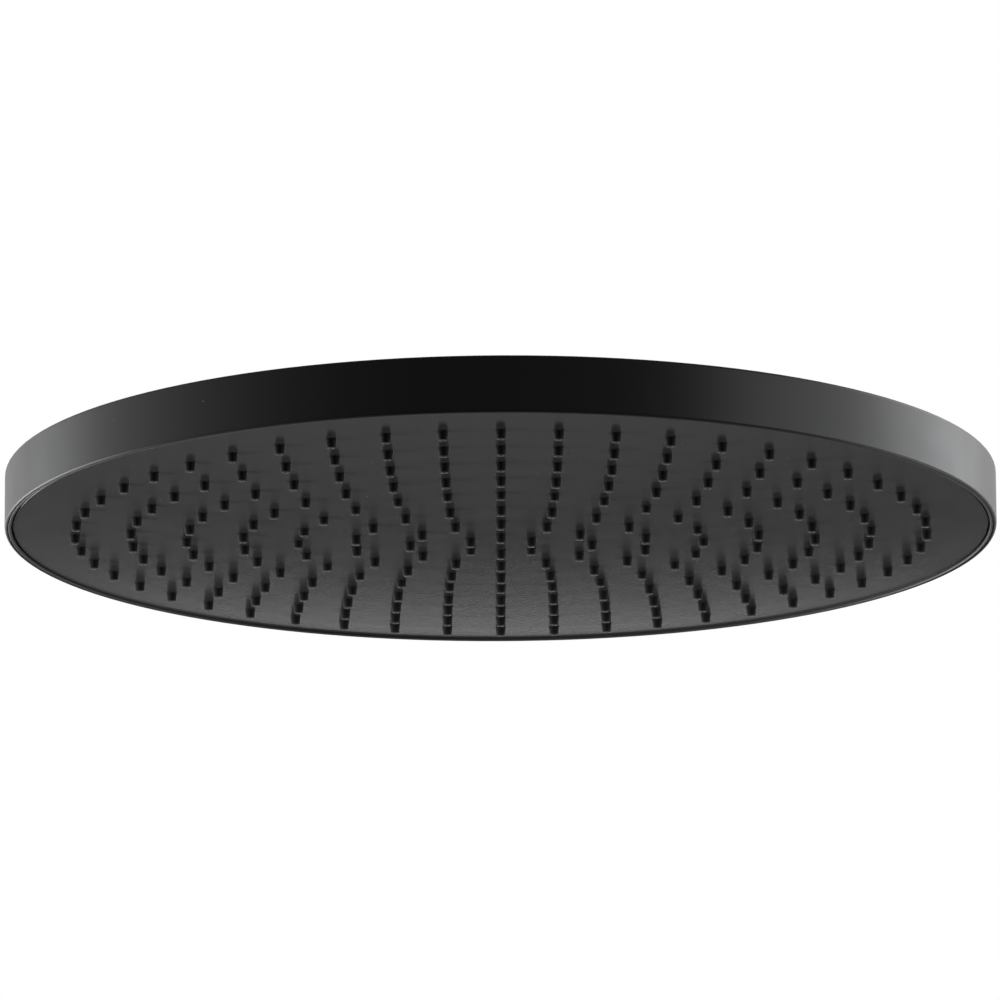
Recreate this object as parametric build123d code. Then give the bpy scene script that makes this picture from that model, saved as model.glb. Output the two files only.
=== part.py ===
"""Round rain shower head with a crowned spray face, hung from a ball joint with a half-inch inlet.

Millimetres, +Z up. The origin is the centre of the inlet's mouth, so the whole head lies below Z = 0.
Heights of the ball joint are counted from the ball's centre, and the rest follows from them.
"""

from math import cos, pi, radians, sin, sqrt
import os

from build123d import *

# Round housing
HEAD_D = 300.0
WALL_H = 17.0
WALL_T = 2.0
TOP_T = 2.2
TOP_RISE = 5.0
TOP_EDGE_ROUND = 0.9
LOW_EDGE_ROUND = 0.75
LIP_ROUND_SHARE = 0.9

# Joint between the wall, the tray's lip and the spray plate, seen from below
WALL_LIP_T = 0.85
PARTING_GAP = 0.2
TRAY_LIP_T = 0.9
TRAY_LIP_ROUND = 0.4
TRAY_FLANGE_T = 1.05
FACE_GAP = 0.7

# Spray plate and water chamber
FACE_RECESS = 0.6
CROWN = 3.8
PLATE_T = 2.0
MAT_T = 1.2
BEAD_W = 3.5
BEAD_H = 1.0
RIM_LAND_W = 10.35
CHAMBER_H = 3.7
TRAY_T = 2.2
RIB_T = 1.8
RIB_COUNT = 6
RIB_HEADROOM = 1.0

# Nozzles, in rings that each hold six more than the last
RINGS = 8
RING_STEP = 6
FIRST_RING_R = 10.6
EDGE_MARGIN = 18.45
NOZZLE_H = 2.55
SHORT_RING = 4
SHORT_RING_H = 2.05
NOZZLE_TIP_D = 3.0
NOZZLE_ROOT_D = 3.5
ORIFICE_D = 0.9
NOZZLE_SIDES = 6
ORIFICE_SIDES = 4
FRONT_ANGLE = -90.0

# Ball joint, with angles counted from the ball's equator
BALL_D = 22.0
BALL_MOUTH_D = 11.0
WATERWAY_D = 9.0
NECK_D = 12.6
NECK_CONE_H = 0.85
BARREL_D = 16.0
SLIP_LOW_ANGLE = 2.0
SLIP_TOP_ANGLE = 33.0
SEAT_TOP_ANGLE = 24.0
SEAT_FLOOR_T = 1.0
JOINT_RING_WALL = 1.1
TILT_LIMIT = 15.0

# Ball socket and the nut that closes it
SOCKET_WALL = 2.9
SOCKET_FLOOR_T = 3.0
SOCKET_FLANGE_T = 3.0
SOCKET_FLANGE_W = 11.0
NECK_TOP_GAP = 0.2
LAND_ABOVE_BALL = 1.0
NUT_WASHER_T = 0.8
NUT_WALL = 4.0
NUT_PLATE_T = 2.0
NUT_FLAT_R = 12.0
NUT_EDGE_DROP = 3.5
NUT_FLUTES = 12
NUT_FLUTE_R = 2.2
NUT_FLUTE_DEPTH = 0.9
SEAL_SECTION_D = 2.0
SEAL_SIDES = 8
SEAL_GROOVE_W = 2.4
SEAL_DEPTH = 4.6
BOSS_MARGIN = 1.0

# Inlet union, a half-inch pipe thread drawn at its minor diameter
THREAD_MINOR_D = 18.631
THREAD_RELIEF_D = 21.2
THREAD_L = 9.6
UNION_ACROSS_FLATS = 26.0
UNION_CHAMFER_W = 0.7
UNION_CHAMFER_H = 0.92
UNION_SHOULDER_T = 2.8
UNION_GAP = 0.6
CLIP_T = 0.9
CLIP_LAND = 0.65
CLIP_GROOVE_DEPTH = 0.8
CLIP_REACH = 1.8
CLIP_OPENING_DEG = 40.0

# What sits in the inlet
WASHER_T = 2.4
WASHER_OD = 18.4
WASHER_ID = 11.0
SCREEN_T = 0.5
SCREEN_GRIP = 1.0
SCREEN_PITCH = 1.5
SCREEN_HOLE = 0.9
LIMITER_D = 11.4
LIMITER_H = 3.6
LIMITER_SEAL_D = 1.4
LIMITER_HOLES = 8
LIMITER_HOLE_D = 1.4
LIMITER_HOLE_R = 3.0

# Screws
SCREW_D = 2.6
SCREW_L = 6.0
SCREW_HEAD_D = 5.2
SCREW_HEAD_H = 1.8
SCREW_HEAD_CHAMFER = 0.6
SCREW_RECESS_D = 2.6
SCREW_RECESS_H = 1.0
SCREW_BOSS_D = 5.6
RIM_SCREWS = 12
RIM_SCREW_INSET = 4.2
INNER_SCREWS = 6
INNER_SCREW_RING = 4
SOCKET_SCREWS = 4
COLLAR_WALL = 1.5

# Sides of the union nut and of the screws' recesses
HEX_SIDES = 6

# Clearances
FIT = 0.1
RUNNING_FIT = 0.08
SEAT_FIT = 0.05

# How near an edge has to lie to be the one looked for
EDGE_TOLERANCE = 1e-3

# Ball joint heights, from the ball's centre
ball_r = BALL_D / 2
cup_r = ball_r + RUNNING_FIT
ball_cut = sqrt(ball_r**2 - (BALL_MOUTH_D / 2) ** 2)
slip_low = cup_r * sin(radians(SLIP_LOW_ANGLE))
slip_top = cup_r * sin(radians(SLIP_TOP_ANGLE))
seat_top = -cup_r * sin(radians(SEAT_TOP_ANGLE))
seat_low = -ball_cut - SEAT_FLOOR_T
nut_plate_low = slip_top + SEAT_FIT
nut_top = nut_plate_low + NUT_PLATE_T
nut_rise = nut_top * cos(radians(TILT_LIMIT)) + NUT_FLAT_R * sin(radians(TILT_LIMIT))
union_low = nut_rise + UNION_GAP

# Heights of the inlet, from its mouth
washer_low = -THREAD_L - WASHER_T
clip_top = washer_low - CLIP_LAND
shoulder_top = clip_top - CLIP_T - FIT
shoulder_low = shoulder_top - UNION_SHOULDER_T
ball_z = shoulder_low - union_low

# Heights of the head
land_top = ball_z + LAND_ABOVE_BALL
flange_top = land_top - TOP_T
flange_low = flange_top - SOCKET_FLANGE_T
rim_top = land_top - TOP_RISE
rim_low = rim_top - WALL_H
face_edge_z = rim_low + FACE_RECESS
plate_land_z = face_edge_z + PLATE_T
tray_low = plate_land_z + CHAMBER_H
tray_top = tray_low + TRAY_T
rib_top = rim_top - TOP_T - RIB_HEADROOM

# Radii of the rim
head_r = HEAD_D / 2
wall_in = head_r - WALL_T
tray_lip_out = head_r - WALL_LIP_T - PARTING_GAP
tray_lip_in = tray_lip_out - TRAY_LIP_T
face_r = tray_lip_in - FACE_GAP
land_in = face_r - RIM_LAND_W
mat_r = land_in - FIT
bead_in = land_in - BEAD_W
rim_screw_r = face_r - RIM_SCREW_INSET

# Radii of the ball joint
socket_in = ball_r + JOINT_RING_WALL
joint_ring_r = socket_in - FIT
socket_r = socket_in + SOCKET_WALL
flange_r = socket_r + SOCKET_FLANGE_W
socket_screw_r = (socket_r + flange_r) / 2
boss_r = flange_r + BOSS_MARGIN
boss_bore_r = socket_r + FIT
nut_r = socket_r + NUT_WALL
nut_hole_r = cup_r * cos(radians(SLIP_TOP_ANGLE)) + FIT
clip_groove_r = BARREL_D / 2 - CLIP_GROOVE_DEPTH

# Nozzle rings
outer_ring_r = face_r - EDGE_MARGIN
ring_pitch = (outer_ring_r - FIRST_RING_R) / (RINGS - 1)
ring_radii = [FIRST_RING_R + ring_pitch * k for k in range(RINGS)]
inner_screw_r = (ring_radii[INNER_SCREW_RING - 1] + ring_radii[INNER_SCREW_RING]) / 2

# The face is a shallow cap of a sphere, and so is the housing's top
crown_r = (face_r**2 + CROWN**2) / (2 * CROWN)
dome_centre_z = (boss_r**2 - head_r**2 + land_top**2 - rim_top**2) / (2 * TOP_RISE)
dome_r = sqrt(head_r**2 + (rim_top - dome_centre_z) ** 2)


def crown_z(radius):
    """Height of the spray face at a distance from the axis."""
    return face_edge_z - CROWN + crown_r - sqrt(crown_r**2 - radius**2)


def crown_ball(lift):
    """The ball whose underside is the face, raised by a height, with its poles to the sides."""
    return Pos(0, 0, face_edge_z - CROWN + crown_r + lift) * Rot(0, -90, 0) * Sphere(crown_r)


def dome_z(radius):
    """Height of the housing's top at a distance from the axis."""
    return dome_centre_z + sqrt(dome_r**2 - radius**2)


def dome_ball(drop):
    """The ball whose upper side is the housing's top, lowered by a height, with its poles to the sides."""
    return Pos(0, 0, dome_centre_z - drop) * Rot(0, 90, 0) * Sphere(dome_r)


def turned(*edges):
    """A solid of revolution about Z from the edges of a half section."""
    return revolve(Plane.XZ * make_face(edges), Axis.Z)


def ring(outer, inner, low, high):
    """A plain ring, or a disc where the inner radius is nought."""
    section = Polyline((inner, low), (outer, low), (outer, high), (inner, high), close=True)
    return turned(section)


def o_ring(centre_r, z, section_d):
    """A sealing ring, a hair thinner than its groove, with an eight-sided section to keep it light."""
    section = Pos(centre_r, z) * RegularPolygon(section_d / 2 - SEAT_FIT / 2, SEAL_SIDES)
    return revolve(Plane.XZ * section, Axis.Z)


def edge_at(solid, radius, z):
    """The round edge of a solid at a radius and a height."""
    circles = solid.edges().filter_by(GeomType.CIRCLE)
    level = [edge for edge in circles if abs(edge.center().Z - z) < EDGE_TOLERANCE]
    return [edge for edge in level if abs(edge.radius - radius) < EDGE_TOLERANCE]


def outer_edge_round(z, radius):
    """What a round takes off a sharp upper edge of the head's outline."""
    inside = head_r - radius
    outside = head_r + radius
    middle = radius * sqrt(0.5)
    arc = ThreePointArc((head_r, z - radius), (inside + middle, z - radius + middle), (inside, z))
    corner = Polyline((inside, z), (inside, z + radius), (outside, z + radius), (outside, z - radius))
    return turned(arc, corner, Line((outside, z - radius), (head_r, z - radius)))


def housing():
    """The cover: a wall and a gently domed top, with a thin lower lip and a centre hole for the socket."""
    rebate_z = plate_land_z + TRAY_FLANGE_T + PARTING_GAP
    cover = ring(head_r, 0, rim_low, land_top) & dome_ball(0)
    cover -= outer_edge_round(dome_z(head_r - TOP_EDGE_ROUND), TOP_EDGE_ROUND)
    cover -= ring(wall_in, 0, rim_low, flange_top) & dome_ball(TOP_T)
    cover -= ring(head_r - WALL_LIP_T, 0, rim_low, rebate_z)
    cover -= ring(socket_r + 2 * FIT, 0, rim_low, land_top)
    return fillet(edge_at(cover, head_r, rim_low), min(LOW_EDGE_ROUND, LIP_ROUND_SHARE * WALL_LIP_T))


def screw_places():
    """The two circles of screws that hold the spray plate to the tray."""
    return [
        PolarLocations(rim_screw_r, RIM_SCREWS, FRONT_ANGLE),
        PolarLocations(inner_screw_r, INNER_SCREWS, FRONT_ANGLE),
    ]


def screws(places, seat_z):
    """Pan-head screws on a circle, with their heads on a seat."""
    head = ring(SCREW_HEAD_D / 2, 0, seat_z, seat_z + SCREW_HEAD_H)
    head = chamfer(head.edges().group_by(Axis.Z)[-1], SCREW_HEAD_CHAMFER)
    recess = Pos(0, 0, seat_z + SCREW_HEAD_H) * RegularPolygon(SCREW_RECESS_D / 2, HEX_SIDES)
    head -= extrude(recess, -SCREW_RECESS_H)
    screw = head + ring(SCREW_D / 2, 0, seat_z - SCREW_L, seat_z)
    return Compound(children=[place * screw for place in places])


def chamber_tray():
    """The water chamber's back: a ribbed plate with a centre boss, a clamping rim and a visible lip."""
    flange_z = plate_land_z + TRAY_FLANGE_T
    land_out = wall_in - PARTING_GAP
    bead_z = crown_z(land_in) + PLATE_T + SEAT_FIT + MAT_T + BEAD_H
    tray = turned(
        Polyline(
            (boss_bore_r, tray_low),
            (bead_in, tray_low),
            (bead_in, bead_z),
            (land_in, bead_z),
            (land_in, plate_land_z),
            (tray_lip_in, plate_land_z),
            (tray_lip_in, rim_low),
            (tray_lip_out, rim_low),
            (tray_lip_out, flange_z),
            (land_out, flange_z),
            (land_out, tray_top),
            (boss_r, tray_top),
            (boss_r, flange_low),
            (boss_bore_r, flange_low),
            close=True,
        )
    )
    lip_edges = edge_at(tray, tray_lip_in, rim_low) + edge_at(tray, tray_lip_out, rim_low)
    tray = fillet(lip_edges, min(TRAY_LIP_ROUND, LIP_ROUND_SHARE * TRAY_LIP_T / 2))
    rib_in = (boss_bore_r + boss_r) / 2
    rib_h = rib_top - tray_low
    rib = Pos((rib_in + land_in) / 2, 0, tray_low + rib_h / 2) * Box(land_in - rib_in, RIB_T, rib_h)
    half_step = 180.0 / INNER_SCREWS
    tray += [place * rib for place in PolarLocations(0, RIB_COUNT, FRONT_ANGLE + half_step)]
    hoop_r = (inner_screw_r + bead_in) / 2
    tray += ring(hoop_r + RIB_T / 2, hoop_r - RIB_T / 2, tray_low, rib_top)

    rim_places, inner_places = screw_places()
    clear_hole = ring(SCREW_D / 2 + 2 * FIT, 0, tray_low - FIT, tray_top + FIT)
    boss_pocket = ring(SCREW_BOSS_D / 2 + FIT, 0, plate_land_z - FIT, tray_low)
    pilot = ring(SCREW_D / 2 + SEAT_FIT, 0, socket_seat_z() - SCREW_L - FIT, flange_low + FIT)
    tray -= [place * clear_hole for place in [*rim_places, *inner_places]]
    tray -= [place * boss_pocket for place in rim_places]
    tray -= [place * pilot for place in socket_screw_places()]
    return tray


def nozzle_height(ring_number):
    """How far the nozzles of a ring stand out of the face."""
    return SHORT_RING_H if ring_number == SHORT_RING else NOZZLE_H


def on_rings(make):
    """A copy for every nozzle of what a function makes for its ring's number and face height."""
    found = []
    for number, radius in enumerate(ring_radii, start=1):
        piece = make(number, crown_z(radius))
        found += [place * piece for place in PolarLocations(radius, RING_STEP * number, FRONT_ANGLE)]
    return found


def polygon(diameter, sides, z):
    """The corners of a regular polygon about the axis at a height."""
    turns = [2 * pi * k / sides for k in range(sides)]
    return [Vector(diameter / 2 * cos(turn), diameter / 2 * sin(turn), z) for turn in turns]


def nozzle(number, face_z):
    """One nozzle on the axis: a flat-sided taper from its tip up into the mat's sheet."""
    tip = polygon(NOZZLE_TIP_D, NOZZLE_SIDES, face_z - nozzle_height(number))
    root = polygon(NOZZLE_ROOT_D, NOZZLE_SIDES, face_z + PLATE_T + SEAT_FIT + MAT_T / 2)
    sides = [[tip[k - 1], tip[k], root[k], root[k - 1]] for k in range(NOZZLE_SIDES)]
    return Solid(Shell([Face(Wire.make_polygon(corners)) for corners in [tip, root, *sides]]))


def orifice(number, face_z):
    """The water's way through one nozzle and the sheet above it."""
    low = face_z - nozzle_height(number) - FIT
    high = face_z + PLATE_T + SEAT_FIT + MAT_T + FIT
    return extrude(Pos(0, 0, low) * RegularPolygon(ORIFICE_D / 2, ORIFICE_SIDES), high - low)


def nozzle_hole(_, face_z):
    """The hole in the spray plate for one nozzle."""
    low = face_z - FIT
    high = face_z + PLATE_T + FIT
    return extrude(Pos(0, 0, low) * RegularPolygon(NOZZLE_ROOT_D / 2 + FIT, NOZZLE_SIDES), high - low)


def nozzle_mat():
    """The soft mat: a crowned sheet with a sealing bead, screw collars and all the nozzles."""
    low_lift = PLATE_T + SEAT_FIT
    top_lift = low_lift + MAT_T
    bead_z = crown_z(land_in) + top_lift + BEAD_H
    mat = ring(mat_r, 0, crown_z(0), bead_z) & crown_ball(low_lift)
    mat -= ring(bead_in + FIT, 0, crown_z(0), bead_z) & crown_ball(top_lift)
    boss_hole_r = SCREW_BOSS_D / 2 + FIT
    sheet_mid = crown_z(inner_screw_r) + low_lift + MAT_T / 2
    collar = ring(boss_hole_r + COLLAR_WALL, 0, sheet_mid, tray_low)
    boss_hole = ring(boss_hole_r, 0, sheet_mid - MAT_T, tray_low + FIT)
    _, inner_places = screw_places()
    mat += [place * collar for place in inner_places]
    mat += on_rings(nozzle)
    mat -= [place * boss_hole for place in inner_places]
    return mat - on_rings(orifice)


def spray_plate():
    """The hard face: a crowned plate with a flat clamping rim, a hole for each nozzle and screw bosses."""
    plate = ring(face_r, 0, crown_z(0) - FIT, plate_land_z) & crown_ball(0)
    plate -= ring(land_in, 0, crown_z(0), plate_land_z) & crown_ball(PLATE_T)
    rim_places, inner_places = screw_places()
    rim_boss = ring(SCREW_BOSS_D / 2, 0, plate_land_z - FIT, tray_low)
    inner_boss = ring(SCREW_BOSS_D / 2, 0, crown_z(inner_screw_r) + PLATE_T / 2, tray_low)
    pilot = ring(SCREW_D / 2 + SEAT_FIT, 0, tray_top - SCREW_L - FIT, tray_low + FIT)
    plate += [place * rim_boss for place in rim_places]
    plate += [place * inner_boss for place in inner_places]
    plate -= [place * pilot for place in [*rim_places, *inner_places]]
    return plate - on_rings(nozzle_hole)


def socket_screw_places():
    """The circle of screws that hold the socket's flange to the tray's boss."""
    return PolarLocations(socket_screw_r, SOCKET_SCREWS, FRONT_ANGLE + 180.0 / SOCKET_SCREWS)


def socket_seat_z():
    """Height of the socket screws' seats, sunk so that the heads clear the housing."""
    return flange_top - SCREW_HEAD_H - FIT


def ball_socket():
    """The turned socket: a threaded neck, a flange under the housing and a sealed spigot in the tray."""
    floor_z = ball_z + seat_low - SEAT_FIT
    spigot_low = floor_z - SOCKET_FLOOR_T
    neck_top = ball_z + slip_top - NECK_TOP_GAP
    outlet_r = BALL_MOUTH_D / 2 + 2 * FIT
    groove_r = socket_r + FIT - SEAL_SECTION_D
    groove_z = flange_low - SEAL_DEPTH
    socket = turned(
        Polyline(
            (outlet_r, spigot_low),
            (socket_r, spigot_low),
            (socket_r, groove_z - SEAL_GROOVE_W / 2),
            (groove_r, groove_z - SEAL_GROOVE_W / 2),
            (groove_r, groove_z + SEAL_GROOVE_W / 2),
            (socket_r, groove_z + SEAL_GROOVE_W / 2),
            (socket_r, flange_low),
            (flange_r, flange_low),
            (flange_r, flange_top),
            (socket_r, flange_top),
            (socket_r, neck_top),
            (socket_in, neck_top),
            (socket_in, floor_z),
            (outlet_r, floor_z),
            close=True,
        )
    )
    clear_hole = ring(SCREW_D / 2 + FIT, 0, flange_low - FIT, flange_top + FIT)
    head_well = ring(SCREW_HEAD_D / 2 + FIT, 0, socket_seat_z(), flange_top + FIT)
    socket -= [place * (clear_hole + head_well) for place in socket_screw_places()]
    return socket


def cup_at(height):
    """The point of the ball's running surface at a height from its centre, in the half section."""
    return (sqrt(cup_r**2 - height**2), ball_z + height)


def ball_seat():
    """The soft seat that seals against the ball from below."""
    hole_r = BALL_MOUTH_D / 2 + FIT
    cup_low = -sqrt(cup_r**2 - hole_r**2)
    outline = Polyline(
        cup_at(seat_top),
        (joint_ring_r, ball_z + seat_top),
        (joint_ring_r, ball_z + seat_low),
        (hole_r, ball_z + seat_low),
        cup_at(cup_low),
    )
    cup = ThreePointArc(cup_at(cup_low), cup_at((cup_low + seat_top) / 2), cup_at(seat_top))
    return turned(cup, outline)


def slip_ring():
    """The hard slip ring on which the head hangs from the ball's upper half."""
    outline = Polyline(
        cup_at(slip_top),
        (joint_ring_r, ball_z + slip_top),
        (joint_ring_r, ball_z + slip_low),
        cup_at(slip_low),
    )
    cup = ThreePointArc(cup_at(slip_low), cup_at((slip_low + slip_top) / 2), cup_at(slip_top))
    return turned(cup, outline)


def ball_nut():
    """The fluted nut that closes the socket over the slip ring and clamps the housing."""
    base_z = land_top + NUT_WASHER_T
    plate_z = ball_z + nut_plate_low
    top_z = ball_z + nut_top
    thread_r = socket_r + SEAT_FIT
    nut = turned(
        Polyline(
            (thread_r, base_z),
            (nut_r, base_z),
            (nut_r, top_z - NUT_EDGE_DROP),
            (NUT_FLAT_R, top_z),
            (nut_hole_r, top_z),
            (nut_hole_r, plate_z),
            (thread_r, plate_z),
            close=True,
        )
    )
    flute_r = nut_r + NUT_FLUTE_R - NUT_FLUTE_DEPTH
    flute = ring(NUT_FLUTE_R, 0, base_z - FIT, top_z + FIT)
    return nut - [place * flute for place in PolarLocations(flute_r, NUT_FLUTES, FRONT_ANGLE)]


def ball_stem():
    """The turned stem: a bored ball, a neck and a barrel with a clip groove and a well for the limiter."""
    barrel_r = BARREL_D / 2
    neck_r = NECK_D / 2
    bore_r = WATERWAY_D / 2
    mouth_r = BALL_MOUTH_D / 2
    well_r = LIMITER_D / 2 + FIT
    well_z = washer_low - LIMITER_H - 2 * FIT
    cone_top = shoulder_low + FIT
    cone_low = cone_top - NECK_CONE_H
    neck_z = ball_z + sqrt(ball_r**2 - neck_r**2)
    ball = ThreePointArc((mouth_r, ball_z - ball_cut), (ball_r, ball_z), (neck_r, neck_z))
    outline = Polyline(
        (neck_r, neck_z),
        (neck_r, cone_low),
        (barrel_r, cone_top),
        (barrel_r, clip_top - CLIP_T - FIT / 2),
        (clip_groove_r, clip_top - CLIP_T - FIT / 2),
        (clip_groove_r, clip_top),
        (barrel_r, clip_top),
        (barrel_r, washer_low),
        (well_r, washer_low),
        (well_r, well_z),
        (bore_r, well_z),
        (bore_r, ball_z - ball_cut),
        (mouth_r, ball_z - ball_cut),
    )
    return turned(ball, outline)


def union_clip():
    """The open spring clip that keeps the union nut on the stem."""
    inner = clip_groove_r + SEAT_FIT
    clip = ring(inner + CLIP_REACH, inner, clip_top - CLIP_T, clip_top)
    half = sin(radians(CLIP_OPENING_DEG / 2)) * (inner + CLIP_REACH)
    mouth = Box(2 * half, 2 * CLIP_REACH, CLIP_T + 2 * FIT)
    return clip - Pos(0, inner + CLIP_REACH / 2, clip_top - CLIP_T / 2) * mouth


def union_nut():
    """The hexagonal inlet nut, turned freely on the stem's barrel."""
    flat_r = UNION_ACROSS_FLATS / 2
    corner_r = flat_r / cos(pi / HEX_SIDES)
    end_r = flat_r - UNION_CHAMFER_W
    hexagon = Pos(0, 0, shoulder_low) * RegularPolygon(flat_r, HEX_SIDES, major_radius=False)
    prism = extrude(hexagon, -shoulder_low)
    blank = turned(
        Polyline(
            (0, shoulder_low),
            (end_r, shoulder_low),
            (corner_r, shoulder_low + UNION_CHAMFER_H),
            (corner_r, -UNION_CHAMFER_H),
            (end_r, 0),
            (0, 0),
            close=True,
        )
    )
    nut = prism & blank
    nut -= ring(BARREL_D / 2 + RUNNING_FIT, 0, shoulder_low - FIT, shoulder_top)
    nut -= ring(THREAD_RELIEF_D / 2, 0, shoulder_top, -THREAD_L)
    return nut - ring(THREAD_MINOR_D / 2, 0, -THREAD_L, FIT)


def screen_z():
    """Height of the inlet screen's middle, halfway up the washer."""
    return washer_low + WASHER_T / 2


def inlet_washer():
    """The soft inlet washer, grooved inside to hold the screen."""
    inner = WASHER_ID / 2
    groove_r = inner + SCREEN_GRIP + SEAT_FIT
    groove_h = SCREEN_T + 2 * SEAT_FIT
    washer = ring(WASHER_OD / 2, inner, washer_low, washer_low + WASHER_T)
    return washer - ring(groove_r, 0, screen_z() - groove_h / 2, screen_z() + groove_h / 2)


def inlet_screen():
    """The perforated screen that keeps grit out of the head."""
    open_r = WASHER_ID / 2 - SCREEN_PITCH / 2
    screen = ring(WASHER_ID / 2 + SCREEN_GRIP, 0, screen_z() - SCREEN_T / 2, screen_z() + SCREEN_T / 2)
    across = 2 * int(open_r / SCREEN_PITCH) + 1
    hole = Pos(0, 0, screen_z()) * Box(SCREEN_HOLE, SCREEN_HOLE, 2 * SCREEN_T)
    places = GridLocations(SCREEN_PITCH, SCREEN_PITCH, across, across)
    return screen - [place * hole for place in places if place.position.length < open_r]


def limiter_z():
    """Height of the flow limiter's underside."""
    return washer_low - LIMITER_H - FIT


def flow_limiter():
    """The moulded disc that limits the flow, with a ring of small holes and a seal groove."""
    low = limiter_z()
    disc = ring(LIMITER_D / 2, 0, low, low + LIMITER_H)
    groove_r = LIMITER_D / 2 + FIT - LIMITER_SEAL_D
    groove_half = LIMITER_SEAL_D / 2 + FIT
    middle = low + LIMITER_H / 2
    disc -= ring(LIMITER_D, groove_r, middle - groove_half, middle + groove_half)
    hole = ring(LIMITER_HOLE_D / 2, 0, low - FIT, low + LIMITER_H + FIT)
    return disc - [place * hole for place in PolarLocations(LIMITER_HOLE_R, LIMITER_HOLES)]


def limiter_o_ring():
    """The sealing ring round the flow limiter."""
    centre_r = LIMITER_D / 2 + FIT - LIMITER_SEAL_D / 2
    return o_ring(centre_r, limiter_z() + LIMITER_H / 2, LIMITER_SEAL_D)


def socket_o_ring():
    """The sealing ring between the socket's spigot and the tray's boss."""
    centre_r = boss_bore_r - SEAL_SECTION_D / 2
    return o_ring(centre_r, flange_low - SEAL_DEPTH, SEAL_SECTION_D)


def nut_washer():
    """The thin washer between the ball nut and the housing's painted top."""
    return ring(nut_r - FIT, socket_r + 2 * FIT, land_top, land_top + NUT_WASHER_T)


def main():
    """Builds each piece and writes it to a file of its own name."""
    rim_places, inner_places = screw_places()
    pieces = {
        "union_nut": union_nut(),
        "union_clip": union_clip(),
        "ball_stem": ball_stem(),
        "flow_limiter": flow_limiter(),
        "limiter_o_ring": limiter_o_ring(),
        "inlet_washer": inlet_washer(),
        "inlet_screen": inlet_screen(),
        "slip_ring": slip_ring(),
        "ball_seat": ball_seat(),
        "ball_nut": ball_nut(),
        "nut_washer": nut_washer(),
        "ball_socket": ball_socket(),
        "socket_o_ring": socket_o_ring(),
        "socket_screws": screws(socket_screw_places(), socket_seat_z()),
        "housing": housing(),
        "chamber_tray": chamber_tray(),
        "nozzle_mat": nozzle_mat(),
        "spray_plate": spray_plate(),
        "rim_screws": screws(rim_places, tray_top),
        "inner_screws": screws(inner_places, tray_top),
    }
    os.makedirs("parts", exist_ok=True)
    for name, piece in pieces.items():
        export_step(piece, f"parts/{name}.step")


main()
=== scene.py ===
"""Looks of a round rain shower head, built round its solids.

Metres, +Z up, in the frame of the solids. The spray plate, the nozzle mat and the union nut are built anew,
with round holes, round nozzles and a cut thread. Every other piece keeps its solid and gets a finish.
"""

import logging
import math
from dataclasses import dataclass, field
from enum import Enum
from typing import Any, Optional, Sequence, Union

import bmesh
import bpy
from mathutils import Matrix, Vector
from mathutils.geometry import delaunay_2d_cdt

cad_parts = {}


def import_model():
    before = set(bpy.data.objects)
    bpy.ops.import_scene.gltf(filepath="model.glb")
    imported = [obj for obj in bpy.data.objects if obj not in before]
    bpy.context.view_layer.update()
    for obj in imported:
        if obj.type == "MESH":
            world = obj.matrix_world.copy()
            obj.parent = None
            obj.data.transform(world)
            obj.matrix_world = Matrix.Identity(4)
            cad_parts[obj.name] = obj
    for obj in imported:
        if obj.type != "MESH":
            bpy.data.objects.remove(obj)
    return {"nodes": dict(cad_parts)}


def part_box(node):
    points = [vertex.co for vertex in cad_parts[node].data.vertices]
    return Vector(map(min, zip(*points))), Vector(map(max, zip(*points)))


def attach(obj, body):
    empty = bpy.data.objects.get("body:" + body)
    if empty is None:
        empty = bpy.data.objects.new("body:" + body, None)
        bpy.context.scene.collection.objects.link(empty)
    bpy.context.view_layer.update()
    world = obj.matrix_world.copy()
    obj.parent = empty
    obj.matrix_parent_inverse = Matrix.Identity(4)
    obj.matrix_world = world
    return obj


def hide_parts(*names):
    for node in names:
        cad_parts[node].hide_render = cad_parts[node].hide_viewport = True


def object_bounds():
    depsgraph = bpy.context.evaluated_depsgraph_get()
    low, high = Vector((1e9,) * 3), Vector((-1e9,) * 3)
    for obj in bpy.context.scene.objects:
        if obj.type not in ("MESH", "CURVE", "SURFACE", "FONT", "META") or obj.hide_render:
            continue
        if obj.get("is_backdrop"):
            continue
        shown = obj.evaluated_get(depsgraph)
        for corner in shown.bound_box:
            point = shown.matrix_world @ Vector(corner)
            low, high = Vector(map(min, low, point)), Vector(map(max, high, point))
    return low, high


LOG = logging.getLogger("rain_shower_head")
MM = 0.001
FLOOR_DROP = 0.95
Colour = tuple[float, float, float]
Profile = Sequence[tuple[float, float]]
WHITE: Colour = (1.0, 1.0, 1.0)
COOL_LIGHT: Colour = (0.97, 0.985, 1.0)
FRESH_LIGHT: Colour = (0.98, 1.0, 1.0)


class Body(Enum):
    """The moving bodies that new pieces ride on."""

    INLET = "inlet"
    HEAD = "head"


class Slot(Enum):
    """The record's material slots that new pieces take their finish from."""

    SPRAY_FACE = "spray_face"
    SILICONE = "silicone"
    BLACK_METAL = "black_metal"


class Ray(Enum):
    """Kinds of light path that the studio tells apart."""

    CAMERA = "Is Camera Ray"
    GLOSSY = "Is Glossy Ray"
    TRANSMISSION = "Is Transmission Ray"


def opaque(colour: Colour) -> tuple[float, float, float, float]:
    """A colour with full alpha."""
    return (*colour, 1.0)


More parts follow.
